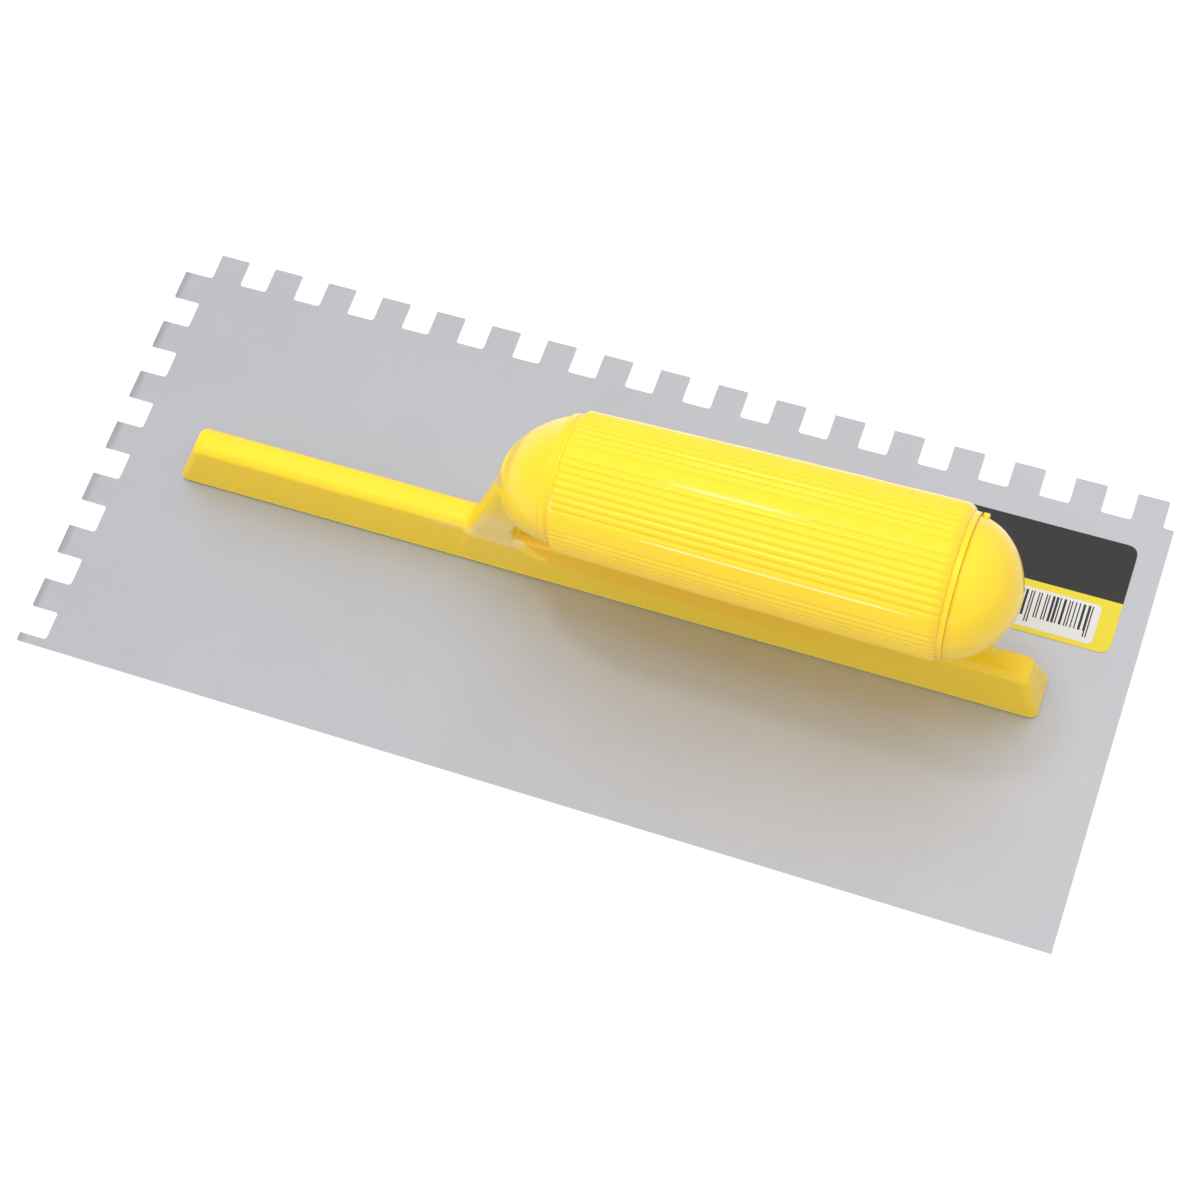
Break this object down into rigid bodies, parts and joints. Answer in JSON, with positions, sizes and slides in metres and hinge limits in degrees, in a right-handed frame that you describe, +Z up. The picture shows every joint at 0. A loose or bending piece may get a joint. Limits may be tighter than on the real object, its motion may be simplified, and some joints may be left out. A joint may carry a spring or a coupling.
{
  "type": "notched trowel",
  "caption": "Rectangular steel trowel blade with square notches on one long and one short edge, under a moulded plastic handle with a ribbed round grip on a leaning neck.",
  "frame": {"origin": "under the middle of the blade, on the plane of its underside", "axes": "+X along the blade's length to its plain short end, +Y to the toothed long edge, +Z up out of the handle side"},
  "size_m": [0.28, 0.124, 0.0755],
  "materials": {
    "blade steel": "finely ground, satin",
    "handle plastic": "glossy moulded polypropylene",
    "cap plastic": "glossy moulded polypropylene",
    "label paper": "printed self-adhesive film",
    "rivet steel": "plain, headed and ground flush"
  },
  "bodies": {
    "root": {"blade": "blade steel", "label": "label paper", "handle": "handle plastic", "end_cap": "cap plastic", "rivet_1": "rivet steel", "rivet_2": "rivet steel", "rivet_3": "rivet steel", "rivet_4": "rivet steel", "rivet_5": "rivet steel", "rivet_6": "rivet steel", "rivet_7": "rivet steel"}
  },
  "joints": []
}
